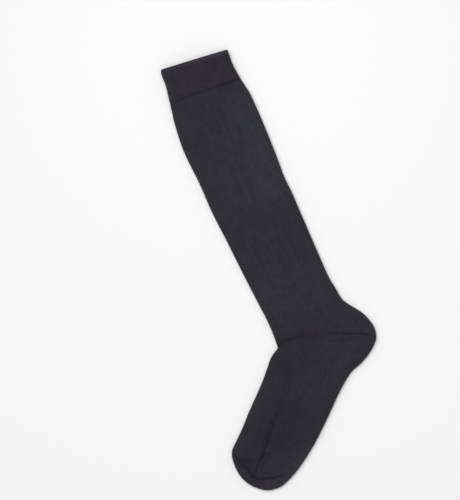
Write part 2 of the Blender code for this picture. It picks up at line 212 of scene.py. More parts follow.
def leg_width(row):
    return ANKLE_WIDTH + row.fullness * (CALF_WIDTH - ANKLE_WIDTH)


def cuff_row(row):
    width = CUFF_WIDTH + row.widening * (leg_width(LEG_TABLE[0]) - CUFF_WIDTH)
    return section_across(row, width, LEG_TUBE + row.height * CUFF_HEIGHT)


def foot_row(row):
    y = -row.down * FOOT_TUBE
    front = np.array([-row.forward * FOOT_WIDTH, y])
    back = np.array([row.back * FOOT_WIDTH, y + row.lift * FOOT_WIDTH])
    middle = front + row.middle * (back - front) + [0, row.side_lift * FOOT_WIDTH]
    return from_foot_frame(section(front, middle, back, row.front_bow, row.back_bow))


cuff_rows = [cuff_row(r) for r in CUFF_TABLE]
leg_rows = [section_across(r, leg_width(r), r.up * LEG_TUBE) for r in LEG_TABLE]
foot_rows = [foot_row(r) for r in FOOT_TABLE]
print("rows of cuff, leg and foot:", len(cuff_rows), len(leg_rows), len(foot_rows))

# %% [markdown]
# Leg and foot meet at places that no row crosses. At the notch the shin runs into the instep. The
# heel pocket's edge sweeps round the start of the gore line, from the leg's last row to the foot's
# first one. The toe's edge bulges out past the foot's last row. Each could be a list of points by
# itself, but worked out from the rows beside it, it always meets them.

# %% Draw the edges of the heel, the notch and the toe
heel_sweep = HEEL_TOP_ANGLE + FOOT_BEND + HEEL_BOTTOM_ANGLE
heel_edge = [polar(r.reach * HEEL_REACH, HEEL_TOP_ANGLE - r.turn * heel_sweep) for r in HEEL_TABLE]

notch_x = -NOTCH_ON_FOOT * FOOT_WIDTH
notch_y = (-NOTCH_ON_LEG * ANKLE_WIDTH - notch_x * math.cos(FOOT_BEND)) / math.sin(FOOT_BEND)
notch = from_foot_frame([notch_x, notch_y])
ankle_row = section(notch, GORE_START, heel_edge[0], ANKLE_BOW)
foot_start = section(notch, GORE_START, heel_edge[-1], ANKLE_BOW)

toe_front, toe_back = foot_rows[-1][0], foot_rows[-1][4]
toe_across = toe_back - toe_front
toe_outwards = np.array([toe_across[1], -toe_across[0]]) / np.linalg.norm(toe_across)
toe_edge = [toe_front + r.across * toe_across + r.reach * TOE_BULGE * toe_outwards for r in TOE_TABLE]
print("shin meets instep at, in mm:", np.round(notch / MM, 1).tolist())

# %% [markdown]
# Between the rows the cloth runs in smooth curves. The curve used here goes through every row that
# it is given, and takes one more row beyond each end to know in which direction it starts and ends.
# Curve objects could do it too, but their points would have to be read back again.

# %% Join the rows by smooth curves
STEPS_PER_SPAN = 12


def curve_through(rows, before=None, after=None):
    first = rows[0] * 2 - rows[1] if before is None else before
    last = rows[-1] * 2 - rows[-2] if after is None else after
    rows = [first, *rows, last]
    made = []
    for a, b, c, d in zip(rows, rows[1:], rows[2:], rows[3:]):
        for t in np.arange(STEPS_PER_SPAN) / STEPS_PER_SPAN:
            made.append(
                b
                + t * (c - a) / 2
                + t**2 * (a - 2.5 * b + 2 * c - d / 2)
                + t**3 * (1.5 * (b - c) + (d - a) / 2)
            )
    return np.array([*made, rows[-2]])


past_leg = 2 * ankle_row - leg_rows[-1]
past_leg[4] = heel_edge[1]
above_foot = 2 * foot_start - foot_rows[0]
above_foot[4] = heel_edge[-2]
past_foot = 2 * foot_rows[-1] - foot_rows[-2]
past_foot[0], past_foot[4] = toe_edge[1], toe_edge[-2]

leg_curve = curve_through([*cuff_rows, *leg_rows[1:], ankle_row], after=past_leg)
cuff_curve = leg_curve[: CUFF_SEAM_ROW * STEPS_PER_SPAN + 1]
leg_curve = leg_curve[CUFF_SEAM_ROW * STEPS_PER_SPAN :]
foot_curve = curve_through([foot_start, *foot_rows], before=above_foot, after=past_foot)
heel_curve = curve_through(heel_edge, before=leg_rows[-1][4], after=foot_rows[0][4])
toe_curve = curve_through(toe_edge, before=foot_rows[-2][0], after=foot_rows[-2][4])
outline = np.concatenate([
    cuff_curve[:, 0], leg_curve[1:, 0], foot_curve[1:, 0], toe_curve[1:-1], foot_curve[1:, 4][::-1],
    heel_curve[::-1], leg_curve[:-1, 4][::-1], cuff_curve[:-1, 4][::-1],
])
print("outline points:", len(outline))

# %% [markdown]
# The CAD model is centred on its origin, so the plan is moved by the distance between the middles of
# the two. The finished objects could be moved instead, but a piece keeps its place in its own mesh,
# as the model's pieces do, and the camera then takes the same shift.

# %% Find the plan's place in the model
cad_middle = (np.array(CAD_BOX[0]) + np.array(CAD_BOX[1])) / 2
to_model = cad_middle[:2] - (outline.min(0) + outline.max(0)) / 2
PLAN_TO_MODEL = np.array([*to_model, 0])
print("heel pocket starts at, in mm:", np.round(PLAN_TO_MODEL[:2] / MM, 2).tolist())

# %% [markdown]
# The picture is taken from straight above. A long lens from three metres away keeps the two ends of
# the sock at the same scale, as an orthographic camera would, and still behaves as a real one. The
# sock's leg leans 23 degrees to the left, so the camera is rolled by as much, and the model keeps its
# own straight axes.

# %% Place the camera
LEG_LEAN = math.radians(23)
PICTURE_MIDDLE = np.array([-70.5, 139.9, 0]) * MM  # on the plan
PICTURE_HEIGHT = 610 * MM
CAMERA_HEIGHT = 3.0
SENSOR = 36.0

picture_centre = Vector(PICTURE_MIDDLE + PLAN_TO_MODEL)
camera = bpy.data.objects.new("camera", bpy.data.cameras.new("camera"))
bpy.context.scene.collection.objects.link(camera)
camera.location = picture_centre + Vector((0, 0, CAMERA_HEIGHT))
camera.rotation_euler = (0, 0, -LEG_LEAN)
camera.data.sensor_width = SENSOR
camera.data.lens = SENSOR * CAMERA_HEIGHT / PICTURE_HEIGHT
bpy.context.scene.camera = camera
print("lens in mm:", round(camera.data.lens, 1))

# %% [markdown]
# A dark sock on white paper needs three lights. An even white sky fills everything, and is shut out
# only close to the cloth, which draws the thin dark line under the edges. A wide key light from the
# upper left adds direction, so that folds and ribs show. A small softbox beyond the mouth makes the
# paper a little lighter there than at the toe. One strong lamp would be simpler, but it would give
# hard shadows, and the white paper would burn out before the dark cloth could be seen.

# %% Light the scene
SKY_STRENGTH = 0.590
KEY_STRENGTH = 1.03
KEY_HEIGHT = math.radians(50)
KEY_WIDTH = math.radians(40)
KEY_FORWARD = 0.5  # along the picture's height, for each 1 to its left
SOFTBOX_POWER = 2.95
SOFTBOX_SIDE = 0.6
LAMP_DISTANCE = 1.12
SOFTBOX_HEIGHT = math.radians(74)

world = bpy.data.worlds.new("studio_sky")
world.use_nodes = True
world.node_tree.nodes["Background"].inputs["Color"].default_value = (1, 1, 1, 1)
world.node_tree.nodes["Background"].inputs["Strength"].default_value = SKY_STRENGTH
bpy.context.scene.world = world
bpy.context.scene.view_settings.view_transform = "Standard"

picture_up = Vector((math.sin(LEG_LEAN), math.cos(LEG_LEAN), 0))
picture_right = Vector((math.cos(LEG_LEAN), -math.sin(LEG_LEAN), 0))


def towards(level, height):
    """A direction above a level one."""
    return level.normalized() * math.cos(height) + Vector((0, 0, math.sin(height)))


def add_light(name, kind, direction, distance, settings):
    light = bpy.data.objects.new(name, bpy.data.lights.new(name, kind))
    for key, value in settings.items():
        setattr(light.data, key, value)
    light.location = picture_centre + direction * distance
    light.rotation_euler = direction.to_track_quat("Z", "Y").to_euler()
    bpy.context.scene.collection.objects.link(light)


add_light(
    "key", "SUN", towards(picture_up * KEY_FORWARD - picture_right, KEY_HEIGHT), LAMP_DISTANCE,
    {"energy": KEY_STRENGTH, "angle": KEY_WIDTH},
)
add_light(
    "softbox", "AREA", towards(picture_up, SOFTBOX_HEIGHT), LAMP_DISTANCE,
    {"energy": SOFTBOX_POWER, "size": SOFTBOX_SIDE},
)
print("lamps:", sum(o.type == "LIGHT" for o in bpy.context.scene.objects))

# %% [markdown]
# A shader's sums are easier to read as sums. The class below wraps a node's output socket, so that
# an ordinary expression such as `1 - groove * 0.4` adds the Math nodes that work it out. Every other
# node comes from one method of the shader, which takes the node's type, its settings and its inputs.

# %% A class for shader sums
class Field:
    """A number that changes over the surface, with the operators that this lesson uses."""

    def __init__(self, shader, socket):
        self.shader, self.socket = shader, socket

    def math(self, operation, *others):
        inputs = dict(enumerate((self, *others)))
        return self.shader.node("Math", {"operation": operation}, inputs)

    def __add__(self, other):
        return self.math("ADD", other)

    def __sub__(self, other):
        return self.math("SUBTRACT", other)

    def __rsub__(self, other):
        return self.shader.node("Math", {"operation": "SUBTRACT"}, {0: other, 1: self})

    def __mul__(self, other):
        return self.math("MULTIPLY", other)

    __radd__, __rmul__ = __add__, __mul__


class Shader:
    """A new material, and the one way in which this lesson adds nodes to it."""

    def __init__(self, name):
        self.material = bpy.data.materials.new(name)
        self.material.use_nodes = True
        self.tree = self.material.node_tree
        self.surface = self.tree.nodes["Principled BSDF"]

    def fill(self, node, sockets):
        for key, value in sockets.items():
            if isinstance(value, Field):
                self.tree.links.new(value.socket, node.inputs[key])
            else:
                node.inputs[key].default_value = value

    def node(self, kind, settings=None, sockets=None, output=0):
        node = self.tree.nodes.new("ShaderNode" + kind)
        for key, value in (settings or {}).items():
            setattr(node, key, value)
        self.fill(node, sockets or {})
        return Field(self, node.outputs[output])


# %% [markdown]
# The floor is plain matt paper. A faint unevenness in its roughness is all that paper shows. A
# curved studio backdrop could rise behind it, but from above one large square looks the same.

# %% Lay the paper
FLOOR_HALF_SIDE = 3.0
FLOOR_DROP = 0.05 * MM

paper = Shader("white_paper")
paper_grain = paper.node("TexNoise", sockets={"Scale": 60.0, "Detail": 2.0})
paper.fill(paper.surface, {
    "Base Color": (0.91, 0.91, 0.91, 1),
    "Roughness": paper_grain * 0.1 + 0.85,
    "Specular IOR Level": 0.1,
})
corners = [(-1, -1), (1, -1), (1, 1), (-1, 1)]
floor_mesh = bpy.data.meshes.new("floor")
floor_mesh.from_pydata(
    [(x * FLOOR_HALF_SIDE, y * FLOOR_HALF_SIDE, -FLOOR_DROP) for x, y in corners], [], [(0, 1, 2, 3)]
)
floor_mesh.materials.append(paper.material)
floor = bpy.data.objects.new("floor", floor_mesh)
bpy.context.scene.collection.objects.link(floor)
print("floor side in m:", 2 * FLOOR_HALF_SIDE)

# %% [markdown]
# A few helpers measure along paths and away from them. They are used for the folds, the creases and
# the even spacing of the stitches. Geometry Nodes can measure too, but on arrays of points the same
# sums are short, and each result can be looked at.

# %% Measure along paths and away from them
POINTS_AT_ONCE = 20000  # keeps the arrays of distances small
STEP_GROWTH = 0.25


def lengths_along(path):
    return np.concatenate([[0], np.cumsum(np.linalg.norm(np.diff(path, axis=0), axis=1))])


def read_off(rows, place, wanted):
    """Rows between the given ones, at the wanted places."""
    flat = rows.reshape(len(rows), -1)
    made = np.array([np.interp(wanted, place, column) for column in flat.T]).T
    return made.reshape(-1, *rows.shape[1:])


def bent(control, shares):
    start, pull, end = control
    s = np.asarray(shares)[:, None]
    return (1 - s) ** 2 * start + 2 * s * (1 - s) * pull + s**2 * end


def from_path(points, path):
    """How far each point lies from a path, and how far along it, as a share of its length."""
    start, step = path[:-1], np.diff(path, axis=0)
    squared = np.maximum((step**2).sum(-1), 1e-18)
    reached = lengths_along(path)
    distances, places = [], []
    for part in np.array_split(points.reshape(-1, 2), max(1, points.size // POINTS_AT_ONCE)):
        offset = part[:, None, :] - start
        share = np.clip((offset * step).sum(-1) / squared, 0, 1)
        away = np.linalg.norm(offset - share[..., None] * step, axis=-1)
        nearest = away.argmin(-1)
        each = np.arange(len(part))
        distances.append(away[each, nearest])
        places.append(reached[nearest] + share[each, nearest] * np.diff(reached)[nearest])
    shape = points.shape[:-1]
    return np.concatenate(distances).reshape(shape), np.concatenate(places).reshape(shape) / reached[-1]


def crowded(length, coarse, fine, at_start=False, at_end=False):
    """Places from 0 to length, fine steps apart at the crowded ends and coarse ones elsewhere."""
    places = [0.0]
    while places[-1] < length:
        here = places[-1]
        room = min(here if at_start else length, length - here if at_end else length)
        places.append(here + min(coarse, fine + STEP_GROWTH * room))
    return np.array(places) * length / places[-1]


# %% [markdown]
# Seen from its end, a flat sock is a long loop: an upper layer, a lower layer that lies on the table,
# and a tight round fold at each edge. The upper layer rises gently away from the folds, because the
# cloth is springy. A cloth simulation could find that shape, after much tuning. Here two short
# formulas give it at once, with the CAD model's own heights.

# %% Give the cloth its height
KNIT_FOLD_RADIUS = 2.2 * MM
CUFF_FOLD_RADIUS = 2.8 * MM
RISE = 4.0 * MM
RISE_REACH = 12.0 * MM
FOLD_POINTS = 8
FOLD_SHARES = 1 - np.cos(np.linspace(0, math.pi / 2, FOLD_POINTS))
FLAT_POINTS = 34


def folded_heights(inward, radius):
    """Heights of the upper and the lower layer at these distances in from the fold."""
    arc = np.sqrt(radius**2 - np.maximum(radius - inward, 0) ** 2)
    return radius + arc + RISE * (1 - np.exp(-inward / RISE_REACH)), radius - arc


def evenly(path, cells):
    place = lengths_along(path[:, :3])
    return read_off(path, place, np.linspace(0, place[-1], cells + 1))


# %% [markdown]
# The sock is knitted on a ring of 144 needles, and each needle makes one wale, a column of stitches
# that runs down the whole sock. The meshes follow the wales, four cells to each, so that the furrows
# between them are real relief. A bump map alone would leave the outline smooth. 84 wales cross the
# front of the sock and 60 the back, on two layers.

# %% Lay half a row over its fold
CELLS_PER_WALE = 4
FRONT_WALES = 42  # on one layer
BACK_WALES = 30
FRONT_CELLS = FRONT_WALES * CELLS_PER_WALE
BACK_CELLS = BACK_WALES * CELLS_PER_WALE
print("needles:", 2 * (FRONT_WALES + BACK_WALES))


def half_loop(fold, pull, side, cells, radius=KNIT_FOLD_RADIUS):
    """From the side line over the upper layer to the fold, and back to it underneath.

    A point has its place, its distance in from the fold (below 0 on the lower layer) and the
    direction that is outwards there.
    """
    length = np.linalg.norm(side - fold)
    near = FOLD_SHARES * radius / length
    shares = np.concatenate([near, np.linspace(near[-1], 1, FLAT_POINTS)[1:]])
    plan = bent((fold, pull, side), shares)
    inward = from_path(plan, outline)[0]
    inward[0] = 0
    top, bottom = folded_heights(inward, radius)
    upper = evenly(np.column_stack([plan, top, inward])[::-1], cells)
    lower = evenly(np.column_stack([plan, bottom, -inward]), cells)
    loop = np.concatenate([upper, lower[1:]])
    return np.column_stack([loop, outward_normals(loop, (fold - side) / length)])


def outward_normals(loop, towards_fold):
    step = np.gradient(loop[:, :3], axis=0)
    level = step[:, :2] @ towards_fold
    normals = np.column_stack([-step[:, 2:3] * towards_fold, level])
    return normals / np.linalg.norm(normals, axis=1, keepdims=True)


def front_loop(r, radius=KNIT_FOLD_RADIUS):
    """From the side line underneath, round the front fold, to the side line on top."""
    return half_loop(r[0], r[1], r[2], FRONT_CELLS, radius)[::-1]


def back_loop(r, radius=KNIT_FOLD_RADIUS):
    return half_loop(r[4], r[3], r[2], BACK_CELLS, radius)


def whole_loop(r, radius=KNIT_FOLD_RADIUS):
    return np.concatenate([front_loop(r, radius), back_loop(r, radius)[1:-1]])


# %% [markdown]
# Where cloth bends it creases. A crease is a path on the plan. It lowers the cloth within its reach
# and, because little light gets into it, it also darkens the yarn along a line of its own width. Its
# strength changes along the path, since a crease fades out. A sharp crease lies in a wide hollow, so
# it is listed twice. The wide hollows are the CAD model's. Creases could be sculpted, but a listed
# one can be moved or softened without touching the rest.

# %% Name the creases
Crease = namedtuple("Crease", "path strengths depth reach shade shade_reach")
PATH_POINTS = 13


def in_mm(*points):
    return np.array(points) * MM


def row_half(row, first):
    return bent(row[first : first + 3], np.linspace(0, 1, PATH_POINTS))


ankle_hollow = row_half(leg_curve[-1], 0)
ankle_path = in_mm(
    (-63, 8), (-59.5, 11), (-52.5, 12.5), (-46, 11.5), (-40, 11), (-34, 9.5),
    (-26, 6.5), (-16, 3.5), (0, 0),
)
gore_path = in_mm((0, 0), (18, -8), (30, -13.5), (41, -18.5), (44.5, -21.5))
below_gore_path = in_mm((-2, -9.5), (9.5, -13.5), (21.5, -16.5), (39, -21.5))
side_path = foot_curve[FOOT_CREASE_ROW * STEPS_PER_SPAN :, 2]
foot_path = in_mm(
    (-77, -51.5), (-83, -54), (-87, -59), (-92, -64), (-99, -70), (-108, -78), (-118, -90),
    (-125, -98.5), (-132, -106), (-139, -112.5), (-145, -118), (-148.5, -122),
)
toe_front_hollow = row_half(foot_curve[-1], 0)
toe_back_hollow = row_half(foot_curve[-1], 2)
toe_path = in_mm(
    (-163, -92), (-160.5, -99), (-157, -107), (-155, -113), (-154, -120), (-152.5, -126),
    (-149, -130), (-145, -132.5), (-139, -133.5), (-132, -135.5), (-125, -137),
    (-117, -138.5), (-108, -140),
)
toe_corner_hollow = in_mm((-154, -101), (-152, -107), (-150.5, -113))
toe_corner_path = in_mm((-160.5, -99), (-148, -106), (-137.5, -110))
foot_branch_path = in_mm((-131.5, -106), (-126.5, -105.5), (-120, -107.5))
beside_foot_path = in_mm((-142.5, -123), (-136.5, -117.5), (-130.5, -113.5))
pucker_path = in_mm((-11, -15), (-6, -32))
CREASES = (
    Crease(ankle_hollow, (0.9, 1, 0.8, 0.6, 0.4, 0.1), 1.0, 3.2, 0.06, 3.0),
    Crease(ankle_path, (0.8, 1, 0.9, 0.5, 0.25, 0.2, 0.2, 0.2), 0.35, 1.1, 0.4, 1.5),
    Crease(ankle_path, (0.5, 1, 0.8, 0.4, 0.3, 0.2), 0.1, 3.0, 0.16, 4.0),
    Crease(gore_path, (0.4, 0.8, 1, 1, 0.8), 1.0, 3.2, 0.06, 3.0),
    Crease(gore_path, (0.8, 1, 1, 1, 1.1), 0.4, 0.9, 0.42, 1.3),
    Crease(below_gore_path, (0.5, 1, 0.9, 0.4), 0.25, 1.2, 0.26, 1.5),
    Crease(side_path, (0.1, 0.4, 0.8, 1, 1), 1.0, 3.2, 0.0, 3.0),
    Crease(foot_path, (0.2, 0.6, 0.8, 1, 1, 1, 0.8, 0.6), 0.25, 2.6, 0.22, 3.6),
    Crease(foot_path, (0.2, 0.3, 0.4, 0.5, 0.65, 0.95, 0.9, 0.6), 0.4, 1.2, 0.42, 1.8),
    Crease(toe_front_hollow, (0.4, 0.8, 1, 1), 0.9, 3.2, 0.0, 3.0),
    Crease(toe_back_hollow, (1, 1, 0.6, 0.3, 0.2), 0.9, 3.2, 0.0, 3.0),
    Crease(toe_path, (0.3, 0.7, 0.75, 0.75, 0.85, 1.1, 1.1, 1, 0.3, 0.1), 0.5, 1.1, 0.5, 1.6),
    Crease(toe_path, (0.8, 1, 1, 0.6, 0.4, 0.4, 0.2, 0.1), 0.2, 2.6, 0.25, 3.2),
    Crease(toe_corner_hollow, (0.7, 1, 0.9), 0.4, 3.0, 0.32, 4.2),
    Crease(foot_branch_path, (1, 0.9, 0.3), 0.35, 1.1, 0.5, 1.7),
    Crease(beside_foot_path, (0.5, 1, 0.5), 0.35, 1.0, 0.45, 1.5),
    Crease(toe_corner_path, (0.9, 0.8, 0.4), 0.25, 1.4, 0.36, 1.9),
    Crease(pucker_path, (1, 0, 1, 0, 1, 0, 1, 0, 1), 0.12, 0.8, 0.3, 0.9),
)
SETTLING = 6.4 * MM  # creases and waves fade out within this distance of a fold
REACHES_KEPT = 3  # beyond so many reaches nothing of a crease is left
print("creases:", len(CREASES))


def creased(grid):
    """How far the creases lower each point, and how dark they make it, on the upper layer."""
    inward = grid[..., 3]
    lowered, light = np.zeros(grid.shape[:2]), np.ones(grid.shape[:2])
    for each in CREASES:
        margin = REACHES_KEPT * max(each.reach, each.shade_reach) * MM
        low, high = each.path.min(0) - margin, each.path.max(0) + margin
        close = (inward > 0) & (grid[..., :2] > low).all(-1) & (grid[..., :2] < high).all(-1)
        if not close.any():
            continue
        away, along = from_path(grid[close][:, :2], each.path)
        strength = np.interp(along, np.linspace(0, 1, len(each.strengths)), each.strengths)
        settled = np.clip(inward[close] / SETTLING, 0, 1)
        lowered[close] += each.depth * MM * strength * settled * np.exp(-((away / each.reach / MM) ** 2))
        light[close] *= 1 - each.shade * strength * np.exp(-((away / each.shade_reach / MM) ** 2))
    return lowered, 1 - light


# %% [markdown]
# The upper layer isn't quite flat either. A few slow waves, a quarter of a millimetre high, keep the
# light on it from looking printed. Over the heel pocket the cloth stands a little fuller. A noise
# texture could displace the mesh, but two bent sines are slower and smoother, as relaxed cloth is.

# %% Add slow waves and the heel's fullness
Wave = namedtuple("Wave", "length bend bend_length")  # lengths in mm for each radian
LEG_WAVE = Wave(9.0, 1.3, 31.0)
CROSS_WAVE = Wave(23.0, 0.8, 17.0)
WAVE_HEIGHT = 0.25 * MM
POCKET_PUFF = 1.2 * MM
POCKET_REACH = 20.0 * MM
POCKET_MIDDLE = polar(HEEL_REACH / 2, -GORE_ANGLE)


def relaxed(grid):
    """The upper layer with its waves, its fullness and its creases, and how dark the creases are."""
    x, y = grid[..., 0] / MM, grid[..., 1] / MM
    across = np.sin(x / LEG_WAVE.length + LEG_WAVE.bend * np.sin(y / LEG_WAVE.bend_length))
    along = np.cos(y / CROSS_WAVE.length + CROSS_WAVE.bend * np.sin(x / CROSS_WAVE.bend_length))
    waves = across * along
    away = np.linalg.norm(grid[..., :2] - POCKET_MIDDLE, axis=-1)
    settled = np.clip(grid[..., 3] / SETTLING, 0, 1)
    lift = settled * (WAVE_HEIGHT * waves + POCKET_PUFF * np.exp(-((away / POCKET_REACH) ** 2)))
    lowered, shade = creased(grid)
    lifted = grid.copy()
    lifted[..., 2] += lift - lowered
    return lifted, shade


# %% [markdown]
# The sock isn't lit as one even tone. Light and shade fall unevenly over it, lighter in some places
# and darker in others, such as where the cloth dips, and here they are painted into the yarn's
# colour. They could be painted on the mesh point by point. A short table of places on the plan does
# as much, and between them the tone changes softly.

# %% List the painted light and shade
PaintedLightSpot = namedtuple("PaintedLightSpot", "x y gain")  # x and y in mm, and what the tone gains over 1
# Each spot paints light (a gain above 0) or shade (a gain below 0) into the yarn around it.
PAINTED_LIGHT_TABLE = (
    PaintedLightSpot(-25, 355, 0.00),
    PaintedLightSpot(12, 334, -0.02),
    PaintedLightSpot(-25, 305, 0.03),
    PaintedLightSpot(16, 295, 0.20),
    PaintedLightSpot(-61, 254, 0.00),
    PaintedLightSpot(-27, 240, 0.09),
    PaintedLightSpot(10, 224, 0.27),
    PaintedLightSpot(-23, 132, 0.03),
    PaintedLightSpot(-19, 51, 0.13),
    PaintedLightSpot(-25, 18, -0.09),
    PaintedLightSpot(31, 3, 0.02),
    PaintedLightSpot(17, -30, 0.05),
    PaintedLightSpot(-44, -18, -0.09),
    PaintedLightSpot(-98, -44, 0.02),
    PaintedLightSpot(-73, -72, -0.23),
    PaintedLightSpot(-39, -69, 0.00),
    PaintedLightSpot(-136, -81, -0.03),
    PaintedLightSpot(-106, -93, -0.30),
    PaintedLightSpot(-83, -103, 0.02),
    PaintedLightSpot(-162, -118, 0.00),
    PaintedLightSpot(-145, -138, 0.27),
    PaintedLightSpot(-132, -137, -0.22),
    PaintedLightSpot(-111, -146, 0.62),
)
PAINTED_LIGHT_REACH = 24 * MM
FAR_WEIGHT = 1e-6  # what every spot still counts for, however far away
print("places with a tone:", len(PAINTED_LIGHT_TABLE))


# The painted light and shade at each point, as a factor on the yarn's colour.
def painted_light_and_shade(grid):
    total, weights = 0, 0
    for spot in PAINTED_LIGHT_TABLE:
        squared = (grid[..., 0] - spot.x * MM) ** 2 + (grid[..., 1] - spot.y * MM) ** 2
        weight = np.exp(-squared / PAINTED_LIGHT_REACH**2) + FAR_WEIGHT
        total, weights = total + weight * spot.gain, weights + weight
    return 1 + total / weights


# %% [markdown]
# One function turns a grid of points into a solid piece of cloth: an outer face with all its relief,
# a plainer inner face one wall further in, and a rim along each open edge. A closed solid has a
# thickness that can be seen at the mouth, and it can be measured, cut or printed. The Solidify
# modifier thickens a sheet too, but it would copy every furrow to the inside.

# %% Turn a grid into a piece of cloth
KNIT_WALL = 1.2 * MM
COURSE = 1.05 * MM  # the height of a row of stitches
INNER_ROW_STEP = 3
print("knit wall in mm:", KNIT_WALL / MM)


def add_cloth(name, outer, inner, row_picks, column_picks, closed, values):
    """Outer and inner are grids of points; the picks say which outer ones the inner ones face."""
    count = len(outer[0])
    inner_start = outer.shape[0] * count
    inner_count = len(inner[0])
    points = np.concatenate([outer.reshape(-1, 3), inner.reshape(-1, 3)])
    faces = []

    def grid_faces(start, rows, columns, wraps, turned):
        for i in range(rows - 1):
            for j in range(columns if wraps else columns - 1):
                k = (j + 1) % columns
                a, b = start + i * columns + j, start + i * columns + k
                face = (a, b, b + columns, a + columns)
                faces.append(face[::-1] if turned else face)

    def rim(outer_ids, picks, inner_ids):
        for m in range(len(picks) - 1):
            edge = outer_ids[picks[m] : picks[m + 1] + 1]
            faces.append((*edge, inner_ids[m + 1], inner_ids[m]))

    grid_faces(0, len(outer), count, closed, False)
    grid_faces(inner_start, len(inner), inner_count, closed, True)
    flat_from = len(faces)
    picks = [*column_picks, count] if closed else column_picks
    for outer_row, inner_row in ((0, 0), (len(outer) - 1, len(inner) - 1)):
        outer_ids = [outer_row * count + j % count for j in range(count + closed)]
        start = inner_start + inner_row * inner_count
        rim(outer_ids, picks, [start + j % inner_count for j in range(inner_count + closed)])
    if not closed:
        for outer_column, inner_column in ((0, 0), (count - 1, inner_count - 1)):
            outer_ids = [i * count + outer_column for i in range(len(outer))]
            inner_ids = [inner_start + i * inner_count + inner_column for i in range(len(inner))]
            rim(outer_ids, row_picks, inner_ids)
    inner_values = np.ix_(row_picks, column_picks)
    values = [np.concatenate([v.ravel(), v[inner_values].ravel()]) for v in values]
    return build_piece(name, points, faces, flat_from, values)


# %% [markdown]
# The mesh keeps four numbers at each point: its wale, its course, how dark its creases and seams
# are, as painted shade, and its tone, as painted light and shade. The shader reads them by name. An
# image could hold them too, but the mesh would have to be unwrapped for it, and numbers at points
# stay exact however close one looks.

# %% Make a mesh that carries its stitch numbers
LABELS = ("wale", "course", "shade", "tone")
MERGE_DISTANCE = 0.002 * MM
print("numbers at each point:", ", ".join(LABELS))


def build_piece(name, points, faces, flat_from, values):
    """A mesh with its stitch numbers and painted light and shade on its points, cleaned of doubled points.
    """
    mesh = bpy.data.meshes.new(name)
    mesh.from_pydata((points + PLAN_TO_MODEL).tolist(), [], faces)
    smooth = np.arange(len(faces)) < flat_from
    mesh.polygons.foreach_set("use_smooth", smooth)
    for label, value in zip(LABELS, values):
        mesh.attributes.new(label, "FLOAT", "POINT").data.foreach_set("value", value.astype(np.float32))
    work = bmesh.new()
    work.from_mesh(mesh)
    bmesh.ops.remove_doubles(work, verts=work.verts, dist=MERGE_DISTANCE)
    bmesh.ops.recalc_face_normals(work, faces=work.faces)
    work.to_mesh(mesh)
    open_edges = sum(not e.is_manifold for e in work.edges)
    work.free()
    piece = bpy.data.objects.new(name, mesh)
    bpy.context.scene.collection.objects.link(piece)
    triangles = sum(len(p.vertices) - 2 for p in mesh.polygons)
    print(f"{name}: {triangles} triangles, {open_edges} open edges")
    return piece


# %% [markdown]
# The cuff is knitted on to the leg's first course, and the join is drawn in. Its shade is painted
# into the yarn as a soft dark band, stronger at some places than at others, because the cuff pulls
# unevenly. It could be one more crease, but it lies on the edge of two pieces. Both take it from the
# same function, so that they meet without a step.

# %% Draw in the seam under the cuff
SEAM_DEPTH = 0.4 * MM
SEAM_REACH = 1.7 * MM
SEAM_SHADE = 0.38
SeamSpot = namedtuple("SeamSpot", "x strength")  # x in mm, from the front to the back
CUFF_SEAM_TABLE = (
    SeamSpot(-62, 0.8), SeamSpot(-48, 0.7), SeamSpot(-32, 0.5), SeamSpot(-12, 0.35),
    SeamSpot(-2, 1.2), SeamSpot(18, 1.3), SeamSpot(27, 0.5),
)
print("seam depth in mm:", SEAM_DEPTH / MM)


def seam_pull(grid, from_seam):
    """How strongly the seam draws in each point and paints its shade there, from 0 to 1."""
    columns = np.array(CUFF_SEAM_TABLE).T
    strength = np.interp(grid[..., 0] / MM, columns[0], columns[1])
    return strength * np.exp(-((from_seam / SEAM_REACH) ** 2))[:, None]


def darker(shade, more):
    """Two shades of one place, one on top of the other."""
    return 1 - (1 - shade) * (1 - more)


# %% [markdown]
# A wale stands up as a rounded ridge between two furrows. The relief is cut into the cloth, so the
# crests stay where the CAD model's surface is. At the toe seam the ridges are sewn flat, and they
# also flatten out round the one point where the courses of the heel pocket meet. A Displace modifier
# could cut the relief, but it has to follow the numbers of the wales, which are at hand here.

# %% Cut the wales into a grid
WALE_RELIEF = 0.14 * MM
RIDGE_BREADTH = 0.7  # the lower, the broader the ridge and the narrower the furrow
FLAT_REACH = 4.0 * MM
print("wale width at the mouth in mm:", round(CUFF_WIDTH / MM / (FRONT_WALES + BACK_WALES), 2))


def wale_depth(cells, depth=WALE_RELIEF):
    across = np.arange(cells) / CELLS_PER_WALE
    return depth * (1 - np.abs(np.sin(math.pi * across)) ** RIDGE_BREADTH)


